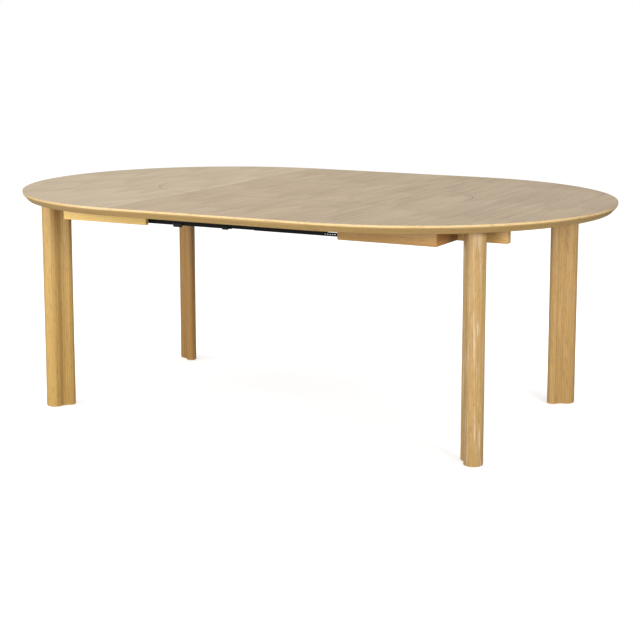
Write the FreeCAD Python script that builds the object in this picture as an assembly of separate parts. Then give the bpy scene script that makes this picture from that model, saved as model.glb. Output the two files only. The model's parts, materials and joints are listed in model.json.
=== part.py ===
import FreeCAD, Part
import math
import os

# Extendable dining table: two half-round ends that part on a pair of telescopic slides, with a
# straight leaf between them. Millimetres. X runs along the table, -Y is the front, Z is up, and the
# origin is on the floor under the middle of the leaf. The table stands fully extended.

V = FreeCAD.Vector

# ---- Overall sizes ----
top_diameter = 1400.0       # of the closed round top
leaf_width = 700.0          # how far the halves part for the leaf
table_height = 750.0        # floor to the top's upper face
seam_gap = 0.8              # between two panels that meet at a seam

# ---- Panels: core board, solid edge lipping, face veneer and inlay line ----
top_thickness = 28.0
veneer = 1.0
lipping_width = 24.0
nose_height = 9.0           # upright part of the edge below the upper face
nose_round = 3.0            # the soft corner under the upright part
undercut = 17.0             # how far the edge slopes in to the underside
inlay_radius = 226.0        # of the line's centre
inlay_width = 3.0

# ---- Legs: two joined lobes, the fat one outwards ----
leg_offset = 418.0          # from the half circle's centre, along X and along Y
outer_lobe_r = 30.0
outer_lobe_at = 20.0        # along the leg's radial axis
inner_lobe_r = 19.0
inner_lobe_at = -31.0
waist = 16.5                # half width of the groove between the lobes
foot_round = 2.5
glide_d = 26.0
glide_h = 2.0
glide_pin_d = 6.0
glide_pin_l = 18.0
plate_t = 3.0
plate_l = 80.0
plate_w = 22.0
stud_d = 8.0
stud_in_leg = 50.0
stud_in_top = 14.0
stud_clear = 0.4            # around a stud in its plate

# ---- Frame under each half ----
frame_height = 52.0         # boards below the underside
apron_face = 495.0          # outer face of the front and back boards from the middle
apron_t = 17.0
apron_reach = 330.0         # from the seam to the end board's outer face
bearer_face = 339.0         # outer face of the long bearers
bearer_t = 26.0
bearer_reach = 495.0        # from the seam to the bearer's outer end
bearer_round = 6.0
tie_t = 20.0
tie_h = 34.0
tie_in = 22.0               # seam to the cross tie

# ---- Telescopic slides, open side down ----
slide_side = 6.0            # apron's inner face to the outer member
slide_clear = 0.4           # between nested members
slide_end_gap = 3.0         # between a member's fixed end and the end board
slide_bottom = 4.6          # outer member's lips above the frame's lower edge
outer_w = 34.0
outer_h = 18.0
outer_web = 2.0
slide_sheet = 1.5
outer_lip = 3.0
outer_stop = 311.0          # outer member beyond the seam
middle_half = 291.0         # half length of the middle member
middle_lip = 4.0
inner_stem_w = 14.0
inner_bar_t = 4.4           # the wide upper part of the inner member
runner_w = 20.0             # nylon runner under the middle member's web
inner_drop = 0.6            # inner member's foot below the outer member's lips
carrier_t = 3.0
block_w = 36.0
block_gap = 6.0             # between the outer member and the block
screw_d = 4.0
screw_head_d = 7.6
strip_screw_l = 24.0
bar_screw_l = 8.0
block_screw_l = 32.0
clip_clear = 1.0            # between a clip and the apron
clip_tops = 6.0             # clip above the lips
clip_round = 2.5
clip_places = ((111.0, 33.0, 5.6), (290.0, 22.0, 2.6))  # from the seam, width, drop

# ---- Seam pins and leaf battens ----
pin_d = 10.0
pin_out = 12.0
pin_in = 28.0
pin_clear = 0.3             # around a pin in its socket
pin_places = (-550.0, -150.0, 150.0, 550.0)
batten_w = 40.0
batten_at = 250.0           # from the leaf's middle
batten_h = 24.0
batten_in = 8.0             # from the slides' inner side to a batten's end

# ---- Derived levels and planes ----
R = top_diameter / 2
z_top = table_height
z_face = z_top - veneer
z_under = z_top - top_thickness
z_frame = z_under - frame_height
z_pin = z_under + (top_thickness - veneer) / 2
seam = leaf_width / 2 + seam_gap / 2      # seam face of each half
leaf_half = leaf_width / 2 - seam_gap / 2  # seam face of the leaf
z_lip = z_frame + slide_bottom
z_outer = z_lip + outer_h
z_middle_top = z_outer - outer_web - slide_clear
z_foot = z_lip - inner_drop
apron_in = apron_face - apron_t            # inner face of the front and back boards
slide_y = apron_in - slide_side - outer_w / 2
clip_out = slide_side - clip_clear
inner_y = slide_y - outer_w / 2 - block_gap  # block's outer face

os.makedirs("parts", exist_ok=True)


def save(name, *solids):
    shape = solids[0] if len(solids) == 1 else Part.makeCompound(list(solids))
    shape.exportStep("parts/" + name + ".step")


def box(x0, x1, y0, y1, z0, z1):
    x0, x1 = sorted((x0, x1))
    y0, y1 = sorted((y0, y1))
    z0, z1 = sorted((z0, z1))
    return Part.makeBox(x1 - x0, y1 - y0, z1 - z0, V(x0, y0, z0))


def rod(d, x, y, z, length, axis=V(0, 0, 1)):
    return Part.makeCylinder(d / 2, length, V(x, y, z), axis)


def prism(points, axis_x0, axis_x1):
    """A closed outline in the YZ plane, run along X."""
    x0, x1 = sorted((axis_x0, axis_x1))
    wire = Part.makePolygon([V(x0, y, z) for y, z in points + points[:1]])
    return Part.Face(wire).extrude(V(x1 - x0, 0, 0))


def cut_all(shape, tools):
    return shape.cut(Part.makeCompound(tools)) if tools else shape


def edge_wire(place):
    """The lipping's section, from its inner side out to the nose. place(r, z) gives a point."""
    low = z_top - nose_height
    slope = math.atan2(low - z_under, undercut)
    a = place(R, low + nose_round)
    m = place(R - nose_round * 0.18, low + nose_round * 0.25)
    b = place(R - nose_round * math.cos(slope) * 0.8, low - nose_round * math.sin(slope) * 0.8)
    arc = Part.Arc(a, m, b).toShape()
    c, d = place(R - undercut, z_under), place(R - lipping_width, z_under)
    e, f = place(R - lipping_width, z_face), place(R, z_face)
    edges = [arc] + [Part.makeLine(p, q) for p, q in ((b, c), (c, d), (d, e), (e, f), (f, a))]
    return Part.Wire(edges)


def half_disc(side, radius, z0, z1):
    whole = Part.makeCylinder(radius, z1 - z0, V(0, 0, z0))
    keep = box(0, side * (radius + 1), -radius - 1, radius + 1, z0 - 1, z1 + 1)
    return whole.common(keep).translated(V(side * seam, 0, 0))


def half_ring(side, radius, width, z0, z1):
    outer = half_disc(side, radius + width / 2, z0, z1)
    return outer.cut(Part.makeCylinder(radius - width / 2, z1 - z0 + 2, V(side * seam, 0, z0 - 1)))


def pins(x_face, out):
    """Pins set into the panel behind x_face, pointing along out."""
    return [rod(pin_d, x_face - out * pin_in, y, z_pin, pin_in + pin_out, V(out, 0, 0))
            for y in pin_places]


def sockets(x_face, out):
    """Sockets in the panel that lies on the out side of x_face."""
    deep = pin_out + 3.0
    return [rod(pin_d + 2 * pin_clear, x_face - out, y, z_pin, deep + 1, V(out, 0, 0))
            for y in pin_places]


def leg_outline():
    """Two round lobes joined by a hollow on each side, closed, in the XY plane along +X."""
    a, b, p, q, w = outer_lobe_at, inner_lobe_at, outer_lobe_r, inner_lobe_r, waist
    k0 = (a * a - b * b - p * p + q * q) / (2 * (a - b))
    k1 = (p - q) / (a - b)
    m = k0 - b
    qa, qb, qc = k1 * k1, -2 * (m * k1 + q - w), m * m - q * q + w * w
    r = -qc / qb if abs(qa) < 1e-9 else (-qb - math.sqrt(qb * qb - 4 * qa * qc)) / (2 * qa)
    u, v = k0 - k1 * r, w + r

    def touch(c, rad):
        t = rad / math.hypot(u - c, v)
        return c + (u - c) * t, v * t

    (x1, y1), (x2, y2) = touch(a, p), touch(b, q)
    arcs = [Part.Arc(V(x1, y1, 0), V(a + p, 0, 0), V(x1, -y1, 0)),
            Part.Arc(V(x1, -y1, 0), V(u, -w, 0), V(x2, -y2, 0)),
            Part.Arc(V(x2, -y2, 0), V(b - q, 0, 0), V(x2, y2, 0)),
            Part.Arc(V(x2, y2, 0), V(u, w, 0), V(x1, y1, 0))]
    return Part.Wire([arc.toShape() for arc in arcs])


def leg_place(shape, sx, sy):
    """Turns a piece made along +X to the leg's radial direction and puts it in place."""
    out = shape.copy()
    out.rotate(V(0, 0, 0), V(0, 0, 1), math.degrees(math.atan2(sy, sx)))
    out.translate(V(sx * (seam + leg_offset), sy * leg_offset, 0))
    return out


def countersunk(x, y, z, length):
    """A flush screw driven upwards from z."""
    head_h = (screw_head_d - screw_d) / 2
    head = Part.makeCone(screw_head_d / 2, screw_d / 2, head_h, V(x, y, z))
    return head.fuse(rod(screw_d, x, y, z, length)).removeSplitter()


# ---- Legs, plates, studs and glides ----
stud_at = (outer_lobe_at, inner_lobe_at + 5.0)
z_leg = z_under - plate_t
leg_body = Part.Face(leg_outline()).extrude(V(0, 0, z_leg - glide_h)).translated(V(0, 0, glide_h))
low_edges = [e for e in leg_body.Edges if e.BoundBox.ZMax < glide_h + 1e-6]
leg_body = leg_body.makeFillet(foot_round, low_edges)
leg_body = leg_body.cut(rod(glide_pin_d, outer_lobe_at, 0, glide_h - 1, glide_pin_l + 1))
leg_body = cut_all(leg_body, [rod(stud_d, u, 0, z_leg - stud_in_leg, stud_in_leg + 1) for u in stud_at])
plate = box(-plate_l / 2, plate_l / 2, -plate_w / 2, plate_w / 2, z_leg, z_under)
plate = plate.makeFillet(plate_w * 0.3, [e for e in plate.Edges if e.BoundBox.ZLength > plate_t / 2])
plate = plate.translated(V((outer_lobe_at + inner_lobe_at + outer_lobe_r - inner_lobe_r) / 2, 0, 0))
plate = cut_all(plate, [rod(stud_d + 2 * stud_clear, u, 0, z_leg - 1, plate_t + 2) for u in stud_at])
glide = Part.makeCylinder(glide_d / 2, glide_h, V(outer_lobe_at, 0, 0))
glide = glide.fuse(rod(glide_pin_d, outer_lobe_at, 0, 0, glide_h + glide_pin_l)).removeSplitter()
studs = [rod(stud_d, u, 0, z_leg - stud_in_leg, stud_in_leg + plate_t + stud_in_top) for u in stud_at]

sides = (("left", -1), ("right", 1))
ends = (("front", -1), ("back", 1))
stud_solids, plate_solids = {}, {}
for side, sx in sides:
    stud_solids[side], plate_solids[side] = [], []
    for end, sy in ends:
        save("leg_" + end + "_" + side, leg_place(leg_body, sx, sy))
        save("glide_" + end + "_" + side, leg_place(glide, sx, sy))
        plate_solids[side].append(leg_place(plate, sx, sy))
        stud_solids[side] += [leg_place(s, sx, sy) for s in studs]
    save("leg_plates_" + side, *plate_solids[side])
    save("leg_studs_" + side, *stud_solids[side])

# ---- Half tops ----
for side, sx in sides:
    core = half_disc(sx, R - lipping_width, z_under, z_face)
    core = cut_all(core, stud_solids[side])
    face = half_disc(sx, R, z_face, z_top)
    line = half_ring(sx, inlay_radius, inlay_width, z_face, z_top)
    ring = Part.Face(edge_wire(lambda r, z: V(0, r, z))).revolve(V(0, 0, 0), V(0, 0, 1), -180 * sx)
    ring = ring.translated(V(sx * seam, 0, 0))
    if sx < 0:
        core = cut_all(core, pins(-seam, 1))
        save("seam_pins_left", *pins(-seam, 1))
    else:
        core = cut_all(core, sockets(seam, 1))
    save("core_" + side, core)
    save("veneer_" + side, face.cut(line))
    save("inlay_" + side, line)
    save("lipping_" + side, ring)

# ---- Leaf ----
leaf = box(-leaf_half, leaf_half, -(R - lipping_width), R - lipping_width, z_under, z_face)
leaf = cut_all(leaf, sockets(-leaf_half, 1) + pins(leaf_half, 1))
lines = [box(-leaf_half, leaf_half, y - inlay_width / 2, y + inlay_width / 2, z_face, z_top)
         for y in (-inlay_radius, inlay_radius)]
save("core_leaf", leaf)
joins = (-R, -inlay_radius, inlay_radius, R)
half_line = inlay_width / 2
save("veneer_leaf", *[box(-leaf_half, leaf_half, y0 + (half_line if y0 > -R else 0),
                          y1 - (half_line if y1 < R else 0), z_face, z_top)
                      for y0, y1 in zip(joins, joins[1:])])
save("inlay_leaf", *lines)
save("seam_pins_leaf", *pins(leaf_half, 1))
for end, sy in ends:
    section = Part.Face(edge_wire(lambda r, z: V(-leaf_half, sy * r, z)))
    save("lipping_leaf_" + end, section.extrude(V(2 * leaf_half, 0, 0)))
batten_reach = slide_y - outer_w / 2 - batten_in
for side, sx in sides:
    x = sx * batten_at
    save("leaf_batten_" + side, box(x - batten_w / 2, x + batten_w / 2, -batten_reach, batten_reach,
                                    z_under - batten_h, z_under))

# ---- Frame boards under each half ----
x_end = seam + apron_reach
for side, sx in sides:
    for end, sy in ends:
        save("apron_" + end + "_" + side,
             box(sx * seam, sx * x_end, sy * apron_face, sy * apron_in, z_frame, z_under))
        save("end_board_" + end + "_" + side,
             box(sx * (x_end - apron_t), sx * x_end, sy * apron_in, sy * bearer_face,
                 z_frame, z_under))
        bearer = box(sx * seam, sx * (seam + bearer_reach), sy * bearer_face,
                     sy * (bearer_face - bearer_t), z_frame, z_under)
        tip = [e for e in bearer.Edges if e.BoundBox.ZMax < z_frame + 1e-6
               and abs(abs(e.CenterOfMass.x) - seam - bearer_reach) < 1e-6]
        save("bearer_" + end + "_" + side, bearer.makeFillet(bearer_round, tip))
    x0 = seam + tie_in
    inside = bearer_face - bearer_t
    save("cross_tie_" + side, box(sx * x0, sx * (x0 + tie_t), -inside, inside, z_under - tie_h, z_under))

# ---- Slides: outer member on the left half, inner member on the right half ----
x_fixed = x_end - apron_t - slide_end_gap   # fixed end of the outer and inner members
x_stop = seam - outer_stop                  # free end of the outer member
x_pack = seam + 1.0                         # packing and block start just inside the seam
n = slide_sheet
span = x_fixed - x_pack
places = [x_pack + span * f for f in (0.12, 0.5, 0.88)]
h = outer_w / 2
mid_h = h - n - slide_clear
bar_h = mid_h - n - slide_clear
z_mid = z_lip + n + slide_clear
z_bar = z_mid + n + slide_clear
z_bar_top = z_bar + inner_bar_t
clips, strip_screws, carrier_screws = [], [], []
for end, sy in ends:
    c = sy * slide_y

    def lay(points):
        return [(c + y, z) for y, z in points]

    def channel(half, low, high, web, lip):
        return lay([(-half, low), (-half + n + lip, low), (-half + n + lip, low + n), (-half + n, low + n),
                    (-half + n, high - web), (half - n, high - web), (half - n, low + n),
                    (half - n - lip, low + n), (half - n - lip, low), (half, low), (half, high),
                    (-half, high)])

    outer = prism(channel(h, z_lip, z_outer, outer_web, outer_lip), -x_fixed, -x_stop)
    left_screws = [countersunk(-x, c, z_outer - outer_web, strip_screw_l) for x in places]
    save("slide_outer_" + end, cut_all(outer, left_screws))
    strip = box(-x_fixed, -x_pack, c - h, c + h, z_outer, z_under)
    save("slide_strip_" + end, cut_all(strip, left_screws))
    strip_screws += left_screws

    save("slide_middle_" + end,
         prism(channel(mid_h, z_mid, z_middle_top, n, middle_lip), -middle_half, middle_half))
    save("slide_runner_" + end, box(-middle_half, middle_half, c - runner_w / 2, c + runner_w / 2,
                                    z_bar_top + slide_clear, z_middle_top - n))

    bar = prism(lay([(-inner_stem_w / 2, z_foot), (inner_stem_w / 2, z_foot), (inner_stem_w / 2, z_bar),
                     (bar_h, z_bar), (bar_h, z_bar_top), (-bar_h, z_bar_top), (-bar_h, z_bar),
                     (-inner_stem_w / 2, z_bar)]), x_stop, x_fixed)
    under = z_foot - carrier_t
    bar_screws = [countersunk(x, c, under, bar_screw_l) for x in places]
    y_block = sy * (inner_y - block_w / 2)
    block_screws = [countersunk(x, y_block, under, block_screw_l) for x in places]
    save("slide_inner_" + end, cut_all(bar, bar_screws))
    y_in = sy * (inner_y - block_w)
    carrier = box(x_pack, x_fixed, y_in, c + sy * inner_stem_w / 2, under, z_foot)
    save("slide_carrier_" + end, cut_all(carrier, bar_screws + block_screws))
    block = box(x_pack, x_fixed, y_in, sy * inner_y, z_foot, z_under)
    save("slide_block_" + end, cut_all(block, block_screws))
    carrier_screws += bar_screws + block_screws
    for at, wide, drop in clip_places:
        x = -seam + at
        clip = box(x - wide / 2, x + wide / 2, c + sy * h, c + sy * (h + clip_out),
                   z_lip - drop, z_lip + clip_tops)
        corners = [e for e in clip.Edges if e.BoundBox.ZMax < z_lip - drop + 1e-6
                   and e.BoundBox.YLength > 1]
        clips.append(clip.makeFillet(clip_round, corners))
save("slide_clips", *clips)
save("strip_screws", *strip_screws)
save("carrier_screws", *carrier_screws)
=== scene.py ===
import json
import math

import bmesh
import bpy
from mathutils import Matrix, Vector


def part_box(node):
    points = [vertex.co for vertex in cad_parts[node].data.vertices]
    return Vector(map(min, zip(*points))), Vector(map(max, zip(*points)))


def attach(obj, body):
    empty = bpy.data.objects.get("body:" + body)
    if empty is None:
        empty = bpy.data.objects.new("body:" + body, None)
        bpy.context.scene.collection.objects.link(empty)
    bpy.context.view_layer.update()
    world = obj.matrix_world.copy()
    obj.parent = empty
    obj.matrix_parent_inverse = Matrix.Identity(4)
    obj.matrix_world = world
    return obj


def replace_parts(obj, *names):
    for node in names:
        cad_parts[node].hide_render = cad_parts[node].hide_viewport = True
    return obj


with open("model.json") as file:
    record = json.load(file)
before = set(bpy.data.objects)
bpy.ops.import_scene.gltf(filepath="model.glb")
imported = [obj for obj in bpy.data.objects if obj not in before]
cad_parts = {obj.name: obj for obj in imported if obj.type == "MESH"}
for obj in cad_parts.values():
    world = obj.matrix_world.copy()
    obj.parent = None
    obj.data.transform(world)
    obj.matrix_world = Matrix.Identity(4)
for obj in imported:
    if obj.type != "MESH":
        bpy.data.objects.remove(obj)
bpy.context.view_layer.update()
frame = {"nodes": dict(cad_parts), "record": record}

# ---- Face veneer ----
# The upper face is open-grained oak veneer, sliced thin and pressed on in narrow leaves whose grain
# runs across the table. It covers the solid edge right out to the rim and has a satin matt lacquer.
body_of = {node: body for body, held in frame["record"]["behaviour"]["bodies"].items() for node in held}


def put(tree, kind, inputs=None, **settings):
    """Adds a shader node, with its settings and with its inputs as values or links."""
    made = tree.nodes.new("ShaderNode" + kind)
    for name, value in settings.items():
        setattr(made, name, value)
    for name, value in (inputs or {}).items():
        if isinstance(value, bpy.types.NodeSocket):
            tree.links.new(value, made.inputs[name])
        else:
            made.inputs[name].default_value = value
    return made


def math_of(tree, operation, *values):
    return put(tree, "Math", dict(enumerate(values)), operation=operation).outputs[0]


def new_group(name, inputs, outputs):
    """An empty shader node group with these sockets, and its input and output nodes."""
    tree = bpy.data.node_groups.new(name, "ShaderNodeTree")
    for in_out, sockets in (("INPUT", inputs), ("OUTPUT", outputs)):
        for label, kind, value in sockets:
            socket = tree.interface.new_socket(label, in_out=in_out, socket_type="NodeSocket" + kind)
            if value is not None:
                socket.default_value = value
    return tree, tree.nodes.new("NodeGroupInput").outputs, tree.nodes.new("NodeGroupOutput").inputs


def scaled(tree, x, y, z, along, across, shift=0.0):
    """Coordinates stretched along the grain, which runs along x."""
    return put(tree, "CombineXYZ", {
        0: math_of(tree, "MULTIPLY_ADD", x, along, shift),
        1: math_of(tree, "MULTIPLY", y, across),
        2: math_of(tree, "MULTIPLY", z, across)}).outputs[0]


def noise(tree, vector, detail=2.0, rough=0.5):
    return put(tree, "TexNoise", {
        "Vector": vector, "Scale": 1.0, "Detail": detail, "Roughness": rough}).outputs[0]


def window(tree, value, low, high, to_low=0.0, to_high=1.0):
    return put(tree, "MapRange", {0: value, 1: low, 2: high, 3: to_low, 4: to_high}).outputs[0]


def blend(tree, share, first, second):
    """The first colour going over to the second as share rises to one."""
    return put(tree, "Mix", {0: share, 6: first, 7: second}, data_type="RGBA").outputs[2]


def tinted(color, tint):
    return [c * t for c, t in zip(color, tint)]


oak, given, out = new_group(
    "oak_grain",
    (("Vector", "Vector", None), ("Pale", "Color", None), ("Dark", "Color", None), ("Pore", "Color", None),
     ("Leaf Width", "Float", 10.0), ("Ring Width", "Float", 0.006), ("Heart Depth", "Float", 0.06),
     ("Lean", "Float", 0.02), ("Wander", "Float", 0.03), ("Rings", "Float", 0.36),
     ("Streaks", "Float", 0.45), ("Clouds", "Float", 0.25), ("Fleck", "Float", 0.3), ("Chalk", "Float", 0.2)),
    (("Color", "Color", None), ("Roughness", "Float", None), ("Height", "Float", None)))
gx, gy, gz = put(oak, "SeparateXYZ", {0: given["Vector"]}).outputs
leaf_index = math_of(oak, "FLOOR", math_of(oak, "DIVIDE", gy, given["Leaf Width"]))
leaf_luck = put(oak, "TexWhiteNoise", {"W": leaf_index}, noise_dimensions="1D").outputs["Value"]
leaf_y = math_of(oak, "SUBTRACT", gy,
                 math_of(oak, "MULTIPLY", math_of(oak, "ADD", leaf_index, 0.5), given["Leaf Width"]))
leaf_shift = math_of(oak, "MULTIPLY", leaf_luck, 17.0)
wander = math_of(oak, "SUBTRACT", noise(oak, scaled(oak, gx, gy, gz, 1.3, 5.0, leaf_shift)), 0.5)
heart = math_of(oak, "ADD", math_of(oak, "ADD", gz, given["Heart Depth"]),
                math_of(oak, "MULTIPLY", math_of(oak, "ADD", gx, leaf_luck), given["Lean"]))
heart = math_of(oak, "MULTIPLY_ADD", wander, given["Wander"], heart)
across = math_of(oak, "SQRT", math_of(oak, "ADD", math_of(oak, "POWER", leaf_y, 2.0),
                                      math_of(oak, "POWER", heart, 2.0)))
turned = math_of(oak, "FRACT", math_of(oak, "DIVIDE", across, given["Ring Width"]))
ring = math_of(oak, "MULTIPLY", window(oak, turned, 0.0, 0.85, 1.0, 0.0), window(oak, turned, 0.0, 0.12))
fine = noise(oak, scaled(oak, gx, gy, gz, 6.0, 330.0, leaf_shift), 2.0, 0.6)
broad = noise(oak, scaled(oak, gx, gy, gz, 1.7, 75.0, leaf_shift), 2.0, 0.5)
streak = math_of(oak, "MULTIPLY_ADD", window(oak, fine, 0.3, 0.7), 0.5,
                 math_of(oak, "MULTIPLY", window(oak, broad, 0.3, 0.7), 0.5))
cloud = noise(oak, scaled(oak, gx, gy, gz, 0.8, 11.0, leaf_shift), 3.0, 0.55)
pores = window(oak, noise(oak, scaled(oak, gx, gy, gz, 60.0, 1300.0, leaf_shift), 1.0), 0.54, 0.66)
pores = math_of(oak, "MULTIPLY", pores, math_of(oak, "MULTIPLY_ADD", ring, 0.75, 0.25))
flecks = window(oak, noise(oak, scaled(oak, gx, gy, gz, 30.0, 190.0, leaf_shift), 1.0), 0.60, 0.70)
flecks = math_of(oak, "MULTIPLY", flecks, given["Fleck"])
chalk = window(oak, noise(oak, scaled(oak, gx, gy, gz, 9.0, 240.0, leaf_shift), 2.0), 0.56, 0.72)
chalk = math_of(oak, "MULTIPLY", chalk, given["Chalk"])
tone = math_of(oak, "MULTIPLY_ADD", streak, given["Streaks"], math_of(oak, "MULTIPLY", ring, given["Rings"]))
tone = math_of(oak, "MULTIPLY_ADD", window(oak, cloud, 0.25, 0.75), given["Clouds"], tone)
tone = math_of(oak, "MULTIPLY_ADD", leaf_luck, 0.20, math_of(oak, "SUBTRACT", tone, 0.10))
chalky = blend(oak, 0.45, given["Pale"], (0.86, 0.80, 0.70, 1))
grain = blend(oak, tone, given["Pale"], given["Dark"])
grain = blend(oak, chalk, grain, chalky)
grain = blend(oak, flecks, grain, given["Pore"])
grain = blend(oak, math_of(oak, "MULTIPLY", pores, 0.6), grain, given["Pore"])
oak.links.new(grain, out["Color"])
oak.links.new(math_of(oak, "MULTIPLY_ADD", pores, 0.25, math_of(oak, "MULTIPLY", streak, 0.12)),
              out["Roughness"])
oak.links.new(math_of(oak, "SUBTRACT", math_of(oak, "MULTIPLY", streak, 0.35), pores), out["Height"])

eased, given, out = new_group(
    "eased_edges",
    (("Color", "Color", None), ("Worn", "Color", None), ("Reach", "Float", 0.0015),
     ("Amount", "Float", 0.5)), (("Color", "Color", None),))
rounded = put(eased, "Bevel", {"Radius": given["Reach"]}, samples=4).outputs[0]
flat = put(eased, "NewGeometry").outputs["Normal"]
turn = put(eased, "VectorMath", {0: rounded, 1: flat}, operation="DOT_PRODUCT").outputs["Value"]
patchy = noise(eased, put(eased, "VectorMath", {0: put(eased, "TexCoord").outputs["Object"], "Scale": 60.0},
                          operation="SCALE").outputs[0], 3.0)
mask = math_of(eased, "MULTIPLY", window(eased, turn, 0.995, 0.80),
               math_of(eased, "MULTIPLY", window(eased, patchy, 0.3, 0.6, 0.35, 1.0), given["Amount"]))
eased.links.new(blend(eased, mask, given["Color"], given["Worn"]), out["Color"])


def grain_vector(tree, grain_axis, shift, ring_centre=None):
    """Object coordinates with the grain along the first one. Round an arc, the grain follows the arc."""
    spot = put(tree, "TexCoord").outputs["Object"]
    x, y, z = put(tree, "SeparateXYZ", {0: spot}).outputs
    if ring_centre is not None:
        x = math_of(tree, "SUBTRACT", x, ring_centre)
        run = math_of(tree, "MULTIPLY", math_of(tree, "ARCTAN2", y, x), rim_radius)
        deep = math_of(tree, "SQRT", math_of(tree, "ADD", math_of(tree, "POWER", x, 2.0),
                                             math_of(tree, "POWER", y, 2.0)))
        order = (run, deep, z)
    else:
        order = {"x": (x, y, z), "y": (y, x, z), "z": (z, x, y)}[grain_axis]
    joined = put(tree, "CombineXYZ", dict(enumerate(order))).outputs[0]
    return put(tree, "VectorMath", {0: joined, 1: shift}, operation="ADD").outputs[0]


def wood(name, pale, dark, pore, grain_axis, shift=(0, 0, 0), ring_centre=None, gloss=0.42, relief=0.12,
         worn=0.35, coat=0.2, leaf_width=10.0, ring_width=0.006, heart=0.06, lean=0.02, wander=0.03,
         rings=0.36, streaks=0.45, clouds=0.25, fleck=0.3, chalk=0.15):
    """An oak or other wood material, with its own piece of the plank."""
    made = bpy.data.materials.new(name)
    made.use_nodes = True
    tree = made.node_tree
    shader = tree.nodes["Principled BSDF"]
    shader.inputs["Coat Weight"].default_value = coat
    shader.inputs["Coat Roughness"].default_value = 0.3
    group = put(tree, "Group", {
        "Vector": grain_vector(tree, grain_axis, shift, ring_centre), "Pale": (*pale, 1),
        "Dark": (*dark, 1), "Pore": (*pore, 1), "Leaf Width": leaf_width, "Ring Width": ring_width,
        "Heart Depth": heart, "Lean": lean, "Wander": wander, "Rings": rings, "Streaks": streaks,
        "Clouds": clouds, "Fleck": fleck, "Chalk": chalk}, node_tree=oak)
    edge = put(tree, "Group", {
        "Color": group.outputs["Color"], "Worn": (*[min(1.0, c * 1.22 + 0.02) for c in pale], 1),
        "Amount": worn}, node_tree=eased)
    tree.links.new(edge.outputs["Color"], shader.inputs["Base Color"])
    tree.links.new(math_of(tree, "ADD", group.outputs["Roughness"], gloss), shader.inputs["Roughness"])
    bump = put(tree, "Bump", {"Strength": relief, "Distance": 0.0004, "Height": group.outputs["Height"]})
    tree.links.new(bump.outputs[0], shader.inputs["Normal"])
    return made


def dress(node, material):
    mesh = frame["nodes"][node].data
    mesh.materials.clear()
    mesh.materials.append(material)


top_low, top_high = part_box("veneer_right")
seam_x = top_low.x
rim_radius = top_high.x - seam_x
seam_line, given, out = new_group(
    "seam_line",
    (("Color", "Color", None), ("Line", "Color", None), ("Seam", "Float", 0.35), ("Width", "Float", 0.003),
     ("Amount", "Float", 0.5)), (("Color", "Color", None),))
run_x = put(seam_line, "SeparateXYZ", {0: put(seam_line, "TexCoord").outputs["Object"]}).outputs[0]
apart = math_of(seam_line, "ABSOLUTE", math_of(seam_line, "SUBTRACT", run_x, given["Seam"]))
near = math_of(seam_line, "SUBTRACT", 1.0, math_of(seam_line, "GREATER_THAN", apart, given["Width"]))
share = math_of(seam_line, "MULTIPLY", near, given["Amount"])
seam_line.links.new(blend(seam_line, share, given["Color"], given["Line"]), out["Color"])

veneer_pale, veneer_dark, veneer_pore = (0.60, 0.475, 0.325), (0.375, 0.28, 0.18), (0.25, 0.175, 0.105)
pale_line, dark_line = (0.72, 0.60, 0.45, 1), (0.22, 0.155, 0.095, 1)
# The tints paint the left half's veneer lighter than the leaf and the right half, as painted light and sheen
# falling from the left.
for place, start, tint, seam_place, line, strength in (
        ("left", 0.4, (0.90, 0.925, 0.96), -seam_x, dark_line, 0.5),
        ("leaf", 3.1, (0.765, 0.765, 0.755), seam_x, dark_line, 0.4),
        ("right", 7.7, (0.745, 0.745, 0.75), seam_x, pale_line, 0.6)):
    face = wood(
        "face_veneer_" + place, tinted(veneer_pale, tint), tinted(veneer_dark, tint), veneer_pore, "y",
        (start, 0.013, 0.0), gloss=0.56, relief=0.10, worn=0.0, coat=0.0, leaf_width=0.115,
        ring_width=0.0085, heart=0.045, lean=0.02, wander=0.012, rings=0.16, streaks=0.55, clouds=0.18,
        fleck=0.10, chalk=0.22)
    tree = face.node_tree
    shader = tree.nodes["Principled BSDF"]
    shader.inputs["Specular IOR Level"].default_value = 0.3
    lined = put(tree, "Group", {
        "Color": shader.inputs["Base Color"].links[0].from_socket, "Line": line, "Seam": seam_place,
        "Amount": strength}, node_tree=seam_line)
    tree.links.new(lined.outputs["Color"], shader.inputs["Base Color"])
    dress("veneer_" + place, face)

# ---- Inlay line ----
# A narrow strip of darker veneer is let into the face. It draws a circle on the closed top, and on the
# long one two half circles joined by straight lines.
for place in ("left", "leaf", "right"):
    dress("inlay_" + place, wood(
        "inlay_line_" + place, (0.15, 0.095, 0.05), (0.10, 0.06, 0.03), (0.06, 0.035, 0.02),
        "x" if place == "leaf" else "y", (5.0, 0.0, 0.0), worn=0.0, ring_width=0.003, chalk=0.0))

# ---- Solid edge ----
# Solid oak lipping runs round the rim, glued to the board. Its nose is upright and softly rounded
# below, and then it slopes in to the underside so that the top looks thin.
honey_pale, honey_dark, honey_pore = (0.70, 0.46, 0.165), (0.44, 0.26, 0.08), (0.24, 0.13, 0.04)


def new_piece(bm, name, node, material, smooth_below=40.0):
    """Makes the mesh an object that stands for a CAD node and moves with its body."""
    bmesh.ops.remove_doubles(bm, verts=bm.verts[:], dist=1e-6)
    bmesh.ops.recalc_face_normals(bm, faces=bm.faces[:])
    for face in bm.faces:
        face.smooth = True
    for edge in bm.edges:
        edge.smooth = edge.calc_face_angle(math.pi) < math.radians(smooth_below)
    mesh = bpy.data.meshes.new(name)
    bm.to_mesh(mesh)
    bm.free()
    mesh.materials.append(material)
    made = bpy.data.objects.new(name, mesh)
    bpy.context.scene.collection.objects.link(made)
    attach(made, body_of[node])
    return made


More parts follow.
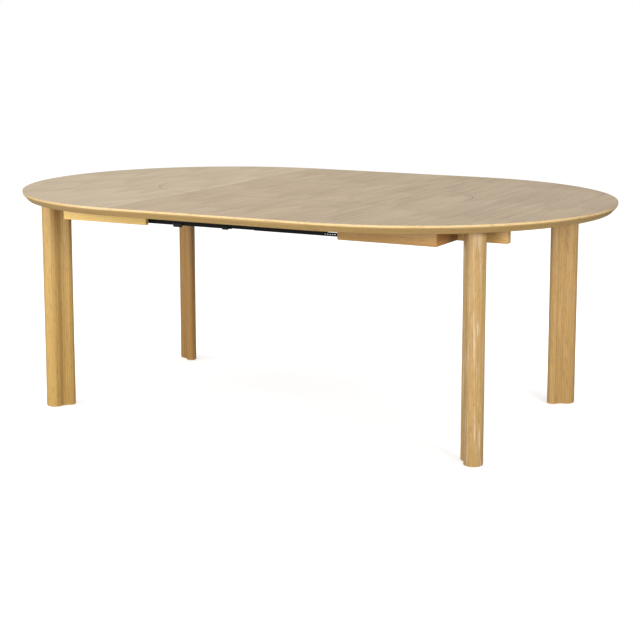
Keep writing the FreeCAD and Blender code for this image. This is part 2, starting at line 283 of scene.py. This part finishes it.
def edge_section(bm, x, out_y):
    """The lipping's section in a plane across X, out_y being the side it faces, centred on Y = 0."""
    low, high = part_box("lipping_right")
    inner = rim_radius - lipping_in
    corners = [(inner, low.z), (rim_radius - undercut, low.z), (rim_radius, high.z - nose),
               (rim_radius, high.z), (inner, high.z)]
    verts = [bm.verts.new((x, out_y * across_y, z)) for across_y, z in corners]
    for a, b in zip(verts, verts[1:] + verts[:1]):
        bm.edges.new((a, b))
    bmesh.ops.bevel(bm, geom=[verts[2]], offset=nose_round, segments=5, profile=0.5, affect="VERTICES",
                    material=-1)
    return bm.edges[:]


def paint_slope_shade(piece, name, **cut):
    """Gives the slope under the nose a darker copy of the wood, as painted shade where it faces down."""
    piece.data.materials.append(wood(name, [c * 0.72 for c in honey_pale], [c * 0.66 for c in honey_dark],
                                     honey_pore, "x", coat=0.1, gloss=0.5, worn=0.0, **cut))
    for face in piece.data.polygons:
        face.material_index = 1 if face.normal.z < facing_down else 0


# The nose's oak is painted paler than the rest of the honey oak, as a painted highlight along the upright
# nose.
nose_highlight_pale, nose_highlight_dark = (0.82, 0.60, 0.29), (0.60, 0.40, 0.17)
lipping_in, undercut, nose, nose_round, facing_down = 0.024, 0.017, 0.0085, 0.0035, -0.2
for side, sign in (("left", -1), ("right", 1)):
    cut = {"shift": (sign * 2.0, 0.0, 0.0), "ring_centre": sign * seam_x, "ring_width": 0.0045,
           "heart": -0.70, "lean": 0.004}
    bm = bmesh.new()
    section = edge_section(bm, 0.0, -1)
    bmesh.ops.spin(bm, geom=bm.verts[:] + section, cent=(0, 0, 0), axis=(0, 0, sign), angle=math.pi,
                   steps=128, use_merge=False, use_duplicate=False)
    bmesh.ops.remove_doubles(bm, verts=bm.verts[:], dist=1e-6)
    bmesh.ops.holes_fill(bm, edges=[e for e in bm.edges if e.is_boundary], sides=0)
    bmesh.ops.translate(bm, verts=bm.verts[:], vec=(sign * seam_x, 0, 0))
    rim = new_piece(bm, "solid_edge_" + side, "lipping_" + side, wood(
        "solid_edge_" + side, nose_highlight_pale, nose_highlight_dark, honey_pore, "x", coat=0.5, gloss=0.34, worn=0.2, **cut))
    paint_slope_shade(rim, "solid_slope_" + side, **cut)
    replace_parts(rim, "lipping_" + side)
for end, sign in (("front", -1), ("back", 1)):
    cut = {"shift": (4.4 + sign, 0.02, 0.0), "ring_width": 0.005, "heart": -0.65, "lean": 0.012}
    low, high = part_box("lipping_leaf_" + end)
    bm = bmesh.new()
    edge_section(bm, low.x, sign)
    face = bmesh.ops.contextual_create(bm, geom=bm.edges[:])["faces"]
    moved = bmesh.ops.extrude_face_region(bm, geom=face, use_keep_orig=True)["geom"]
    bmesh.ops.translate(bm, verts=[v for v in moved if isinstance(v, bmesh.types.BMVert)],
                        vec=(high.x - low.x, 0, 0))
    strip = new_piece(bm, "solid_edge_leaf_" + end, "lipping_leaf_" + end, wood(
        "solid_edge_leaf_" + end, nose_highlight_pale, nose_highlight_dark, honey_pore, "x", coat=0.5, gloss=0.34, worn=0.2,
        **cut))
    paint_slope_shade(strip, "solid_slope_leaf_" + end, **cut)
    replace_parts(strip, "lipping_leaf_" + end)

# ---- Board cores ----
# The panels are particle board between veneers. What shows is the plain oak backing underneath and the
# veneered edges along the seams.
for place, start in (("left", 1.2), ("leaf", 4.2), ("right", 9.1)):
    dress("core_" + place, wood(
        "backing_veneer_" + place, (0.50, 0.36, 0.20), (0.37, 0.26, 0.14), (0.22, 0.14, 0.08), "y",
        (start, 0.03, 0.0), gloss=0.5, worn=0.0, coat=0.0, leaf_width=0.16, ring_width=0.008))

# ---- Legs ----
# Each leg is glued up from solid oak and moulded to two rounded lobes with a hollow between them. The
# fat lobe faces out, the foot is eased all round, and the grain runs upright.
fat_r, fat_at, slim_r, slim_at, waist_half, foot_ease = 0.030, 0.020, 0.019, -0.031, 0.0165, 0.0025


def leg_section(bm, z):
    """The leg's outline at height z, along +X, as one closed run of edges swept round four centres."""
    k0 = (fat_at ** 2 - slim_at ** 2 - fat_r ** 2 + slim_r ** 2) / (2 * (fat_at - slim_at))
    k1 = (fat_r - slim_r) / (fat_at - slim_at)
    m = k0 - slim_at
    qa, qb, qc = k1 ** 2, -2 * (m * k1 + slim_r - waist_half), m ** 2 - slim_r ** 2 + waist_half ** 2
    hollow_r = (-qb - math.sqrt(qb ** 2 - 4 * qa * qc)) / (2 * qa)
    hollow_x, hollow_y = k0 - k1 * hollow_r, waist_half + hollow_r
    fat_turn = math.atan2(hollow_y, hollow_x - fat_at)
    slim_turn = math.atan2(hollow_y, hollow_x - slim_at)
    sweeps = (((fat_at, 0), -2 * fat_turn, 28), ((hollow_x, -hollow_y), fat_turn - slim_turn, 12),
              ((slim_at, 0), 2 * slim_turn - 2 * math.pi, 20),
              ((hollow_x, hollow_y), fat_turn - slim_turn, 12))
    tip = bm.verts.new((fat_at + fat_r * math.cos(fat_turn), fat_r * math.sin(fat_turn), z))
    for (cx, cy), turn, steps in sweeps:
        swept = bmesh.ops.spin(bm, geom=[tip], cent=(cx, cy, z), axis=(0, 0, 1), angle=turn, steps=steps,
                               use_merge=False, use_duplicate=False)["geom_last"]
        tip = next(v for v in swept if isinstance(v, bmesh.types.BMVert))
    bmesh.ops.remove_doubles(bm, verts=bm.verts[:], dist=2e-6)


# Each leg's oak has its own tone; the back left leg's is painted darker, as painted shade under the table
# away from the key.
leg_tones_and_shade = {"front_left": (0.94, 0.90, 0.72), "back_left": (0.74, 0.61, 0.45),
             "front_right": (0.85, 0.84, 0.87), "back_right": (0.99, 0.95, 0.92)}
leg_cut = {"front_left": {"heart": 0.010, "lean": 0.17, "fleck": 0.28, "chalk": 0.12},
           "back_left": {"heart": 0.035, "lean": 0.03, "fleck": 0.3, "chalk": 0.15},
           "front_right": {"heart": 0.030, "lean": 0.05, "fleck": 0.3, "chalk": 0.75},
           "back_right": {"heart": 0.050, "lean": 0.03, "fleck": 0.3, "chalk": 0.3}}
for index, (place, tint) in enumerate(leg_tones_and_shade.items()):
    node = "leg_" + place
    low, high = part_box(node)
    sx, sy = (1 if "right" in place else -1), (1 if "back" in place else -1)
    faces_out = math.atan2(sy, sx)
    bm = bmesh.new()
    leg_section(bm, low.z)
    sole = bmesh.ops.contextual_create(bm, geom=bm.edges[:])["faces"]
    moved = bmesh.ops.extrude_face_region(bm, geom=sole, use_keep_orig=True)["geom"]
    bmesh.ops.translate(bm, verts=[v for v in moved if isinstance(v, bmesh.types.BMVert)],
                        vec=(0, 0, high.z - low.z))
    foot = [e for e in bm.edges if all(abs(v.co.z - low.z) < 1e-6 for v in e.verts)]
    bmesh.ops.bevel(bm, geom=foot, offset=foot_ease, segments=4, profile=0.5, affect="EDGES", material=-1)
    bmesh.ops.rotate(bm, verts=bm.verts[:], cent=(0, 0, 0), matrix=Matrix.Rotation(faces_out, 3, "Z"))
    reach = max(sx * v.co.x for v in bm.verts)
    bmesh.ops.translate(bm, verts=bm.verts[:], vec=(
        (high.x - reach) if sx > 0 else (low.x + reach),
        (high.y - reach) if sy > 0 else (low.y + reach), 0))
    leg = new_piece(bm, "oak_" + node, node, wood(
        "leg_oak_" + place, tinted(honey_pale, tint), tinted(honey_dark, tint), honey_pore, "z",
        (index * 3.7, -sx * 0.76, -sy * 0.40), ring_width=0.0052, rings=0.42, streaks=0.62, coat=0.35,
        gloss=0.36, relief=0.2, worn=0.25, **leg_cut[place]))
    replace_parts(leg, node)

# ---- Glides, leg plates and studs ----
# A dark nylon glide is pressed into each foot. At the top a small steel plate sits between the leg and
# the board, and two zinc plated studs through it hold the leg.


def plain(name, color, rough, metallic=0.0, shine=0.5, speckle=900.0, relief=0.05, worn_color=None,
          worn=0.0):
    """A moulded, coated or plated finish: even colour with a fine texture and rubbed edges."""
    made = bpy.data.materials.new(name)
    made.use_nodes = True
    tree = made.node_tree
    shader = tree.nodes["Principled BSDF"]
    shader.inputs["Metallic"].default_value = metallic
    shader.inputs["Specular IOR Level"].default_value = shine
    spot = put(tree, "TexCoord").outputs["Object"]
    fine = put(tree, "TexNoise", {"Vector": spot, "Scale": speckle, "Detail": 2.0}).outputs[0]
    broad = put(tree, "TexNoise", {"Vector": spot, "Scale": 30.0, "Detail": 3.0}).outputs[0]
    shade = blend(tree, window(tree, broad, 0.3, 0.7), (*[c * 0.85 for c in color], 1),
                  (*[min(1.0, c * 1.15) for c in color], 1))
    edge = put(tree, "Group", {"Color": shade, "Worn": (*(worn_color or color), 1), "Reach": 0.0006,
                               "Amount": worn}, node_tree=eased)
    tree.links.new(edge.outputs["Color"], shader.inputs["Base Color"])
    tree.links.new(math_of(tree, "MULTIPLY_ADD", broad, 0.16, rough - 0.08), shader.inputs["Roughness"])
    bump = put(tree, "Bump", {"Strength": relief, "Distance": 0.0002, "Height": fine})
    tree.links.new(bump.outputs[0], shader.inputs["Normal"])
    return made


nylon = plain("dark_nylon", (0.035, 0.032, 0.03), 0.5)
zinc = plain("zinc_plate", (0.62, 0.62, 0.60), 0.32, metallic=1.0, speckle=400.0)
coated = plain("black_powder_coat", (0.004, 0.004, 0.005), 0.6, shine=0.12, speckle=1400.0, relief=0.12,
               worn_color=(0.03, 0.03, 0.03), worn=0.4)
for place in leg_tones_and_shade:
    dress("glide_" + place, nylon)
for side in ("left", "right"):
    dress("leg_plates_" + side, coated)
    dress("leg_studs_" + side, zinc)

# ---- Frame boards ----
# Under each half the front and back aprons, short end boards and long bearers are planed solid oak with
# eased edges, glued to the board. A cross tie joins the bearers near the seam.


def board(node):
    """A planed board with eased edges in the place of a CAD board."""
    low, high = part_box(node)
    bm = bmesh.new()
    bmesh.ops.create_cube(bm, size=1.0)
    bmesh.ops.scale(bm, verts=bm.verts[:], vec=high - low)
    bmesh.ops.translate(bm, verts=bm.verts[:], vec=(low + high) / 2)
    bmesh.ops.bevel(bm, geom=bm.edges[:], offset=board_ease, segments=3, profile=0.5, affect="EDGES",
                    material=-1)
    return bm


board_ease, tip_reach, tip_round, shortest_tip = 0.0015, 0.0017, 0.005, 0.01
for index, (side, end) in enumerate((s, e) for s in ("left", "right") for e in ("front", "back")):
    place = end + "_" + side
    # The left aprons are painted lighter and the right aprons darker, as painted light from the left and
    # painted shade on the right.
    apron_painted_light_and_shade = (1.3, 1.35, 1.15) if side == "left" else (0.77, 0.65, 0.46)
    # The end boards are painted darker, as painted shade under the top's overhang.
    for kind, axis, tint in (("apron", "x", apron_painted_light_and_shade), ("end_board", "y", (0.81, 0.60, 0.37)),
                             ("bearer", "x", (1.15, 1.1, 1.02))):
        node = kind + "_" + place
        finish = wood(node + "_oak", tinted(honey_pale, tint), tinted(honey_dark, tint), honey_pore, axis,
                      (index * 2.3, 0.0, -0.69), ring_width=0.006, heart=0.015, lean=0.03 + 0.01 * index,
                      rings=0.42, streaks=0.6, worn=0.3)
        bm = board(node)
        if kind == "bearer":
            low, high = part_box(node)
            far = high.x if side == "right" else low.x
            tip = [e for e in bm.edges
                   if all(abs(v.co.x - far) < tip_reach and v.co.z < low.z + tip_reach for v in e.verts)
                   and abs(e.verts[0].co.y - e.verts[1].co.y) > shortest_tip]
            bmesh.ops.bevel(bm, geom=tip[:1], offset=tip_round, segments=4, profile=0.5, affect="EDGES",
                            material=-1)
        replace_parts(new_piece(bm, node + "_planed", node, finish), node)
for side in ("left", "right"):
    node = "cross_tie_" + side
    finish = wood(node + "_wood", (0.52, 0.36, 0.18), (0.40, 0.26, 0.12), honey_pore, "y", (1.0, 0.3, 0.0))
    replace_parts(new_piece(board(node), node + "_planed", node, finish), node)

# ---- Leaf battens ----
# Two hardwood battens across the underside keep the leaf flat. They end between the two slides, so the
# halves can close under them.
for side in ("left", "right"):
    node = "leaf_batten_" + side
    finish = wood(node + "_wood", (0.50, 0.35, 0.18), (0.38, 0.25, 0.12), honey_pore, "y", (2.0, 0.1, 0.0))
    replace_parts(new_piece(board(node), node + "_planed", node, finish), node)

# ---- Seam pins ----
# Beech dowels stand out of one seam edge of each pair and line up the panels as they close.
beech = wood("beech_dowel", (0.62, 0.46, 0.28), (0.50, 0.35, 0.2), (0.35, 0.22, 0.12), "x", ring_width=0.002)
for node in ("seam_pins_left", "seam_pins_leaf"):
    dress(node, beech)

# ---- Slide packing and blocks ----
# Packing strips carry the fixed members on the left, and deeper blocks beside the slides carry the
# moving ones on the right. Both are plain hardwood, glued and screwed to the board.
for end in ("front", "back"):
    for kind in ("slide_strip_", "slide_block_"):
        node = kind + end
        finish = wood(node + "_wood", (0.48, 0.33, 0.17), (0.37, 0.24, 0.12), honey_pore, "x",
                      (0.5, 0.0, 0.0))
        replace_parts(new_piece(board(node), node + "_planed", node, finish), node)

# ---- Telescopic slides ----
# Three black steel members run inside each other, the widest fixed to the left half. The balls that
# the innermost one runs on show as a row of bright heads along each side of it.
for end in ("front", "back"):
    for kind in ("slide_outer_", "slide_middle_", "slide_inner_", "slide_carrier_"):
        dress(kind + end, coated)
for node in ("strip_screws", "carrier_screws"):
    dress(node, zinc)
black_nylon = plain("black_nylon", (0.006, 0.006, 0.006), 0.5, shine=0.2)
for node in ("slide_clips", "slide_runner_front", "slide_runner_back"):
    dress(node, black_nylon)
head_r, head_proud, head_pitch, head_drop, end_clear = 0.0017, 0.00034, 0.0085, 0.0022, 0.01
ball_steel = plain("ball_steel", (0.80, 0.80, 0.79), 0.3, metallic=1.0)
for end in ("front", "back"):
    low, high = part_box("slide_inner_" + end)
    middle, half = (low.y + high.y) / 2, (high.y - low.y) / 2
    bm = bmesh.new()
    for number in range(int((high.x - low.x - 2 * end_clear) / head_pitch)):
        for sign in (-1, 1):
            spot = Matrix.Translation((low.x + end_clear + number * head_pitch, middle + sign * half,
                                       high.z - head_drop))
            bmesh.ops.create_uvsphere(bm, u_segments=8, v_segments=5, radius=head_r,
                                      matrix=spot @ Matrix.Diagonal((1, head_proud / head_r, 1, 1)))
    new_piece(bm, "slide_balls_" + end, "slide_inner_" + end, ball_steel, smooth_below=80.0)

# ---- Room ----
# A plain pale floor, clear when seen from below and to light right under a foot, so that the soles and
# the underside aren't black. A key stands at the front left, soft lamps at the front, the right and
# overhead, and an even dome fills in.
floor_radius, foot_gap = 30.0, 0.012
bm = bmesh.new()
bmesh.ops.create_circle(bm, cap_ends=True, segments=96, radius=floor_radius)
floor_mesh = bpy.data.meshes.new("floor")
bm.to_mesh(floor_mesh)
bm.free()
floor = bpy.data.objects.new("floor", floor_mesh)
bpy.context.scene.collection.objects.link(floor)
floor_paint = bpy.data.materials.new("pale_floor")
floor_paint.use_nodes = True
tree = floor_paint.node_tree
paint = tree.nodes["Principled BSDF"]
paint.inputs["Base Color"].default_value = (0.90, 0.90, 0.90, 1)
paint.inputs["Roughness"].default_value = 0.8
paint.inputs["Specular IOR Level"].default_value = 0.1
paint.inputs["Emission Color"].default_value = (1.0, 1.0, 1.0, 1)
paint.inputs["Emission Strength"].default_value = 0.5
matt = put(tree, "BsdfDiffuse", {"Color": (0.32, 0.32, 0.32, 1)})
clear = put(tree, "BsdfTransparent").outputs[0]
path = put(tree, "LightPath").outputs
under_foot = math_of(tree, "LESS_THAN", path["Ray Length"], foot_gap)
from_below = put(tree, "NewGeometry").outputs["Backfacing"]
both = put(tree, "MixShader", {0: under_foot, 1: matt.outputs[0], 2: clear})
both = put(tree, "MixShader", {0: path["Is Camera Ray"], 1: both.outputs[0], 2: paint.outputs[0]})
both = put(tree, "MixShader", {0: from_below, 1: both.outputs[0], 2: clear})
tree.links.new(both.outputs[0], tree.nodes["Material Output"].inputs["Surface"])
floor_mesh.materials.append(floor_paint)

world = bpy.data.worlds.new("studio")
bpy.context.scene.world = world
world.use_nodes = True
tree = world.node_tree
backdrop = put(tree, "Background", {"Color": (1.0, 1.0, 1.0, 1), "Strength": 1.0})
dome = tree.nodes["Background"]
dome.inputs["Color"].default_value = (1.0, 1.0, 1.0, 1)
dome.inputs["Strength"].default_value = 0.57
seen = put(tree, "LightPath").outputs["Is Camera Ray"]
both = put(tree, "MixShader", {0: seen, 1: dome.outputs[0], 2: backdrop.outputs[0]})
tree.links.new(both.outputs[0], tree.nodes["World Output"].inputs["Surface"])
lamp_aim = Vector((0, 0, 0.6))
for name, spot, size, power in (
        ("key", (-3.0, -3.4, 1.2), 1.6, 80.0), ("front", (0.4, -5.5, 1.3), 2.0, 110.0),
        ("fill", (4.4, -3.0, 1.9), 1.6, 150.0), ("top", (-0.3, 0.2, 4.4), 3.0, 92.0)):
    lamp = bpy.data.lights.new(name, "AREA")
    lamp.size, lamp.energy = size, power
    holder = bpy.data.objects.new(name, lamp)
    holder.location = spot
    holder.rotation_euler = (lamp_aim - Vector(spot)).to_track_quat("-Z", "Y").to_euler()
    bpy.context.scene.collection.objects.link(holder)

tilt_down, turned_left = 8.98, 27.57
lens = bpy.data.cameras.new("camera")
lens.sensor_width, lens.lens = 36.0, 87.2
lens.shift_y = -0.10
lens.clip_end = 100.0
camera = bpy.data.objects.new("camera", lens)
camera.location = (2.475, -4.677, 1.361)
camera.rotation_euler = (math.radians(90.0 - tilt_down), 0.0, math.radians(turned_left))
bpy.context.scene.collection.objects.link(camera)
bpy.context.scene.camera = camera
bpy.context.scene.view_settings.view_transform = "Standard"
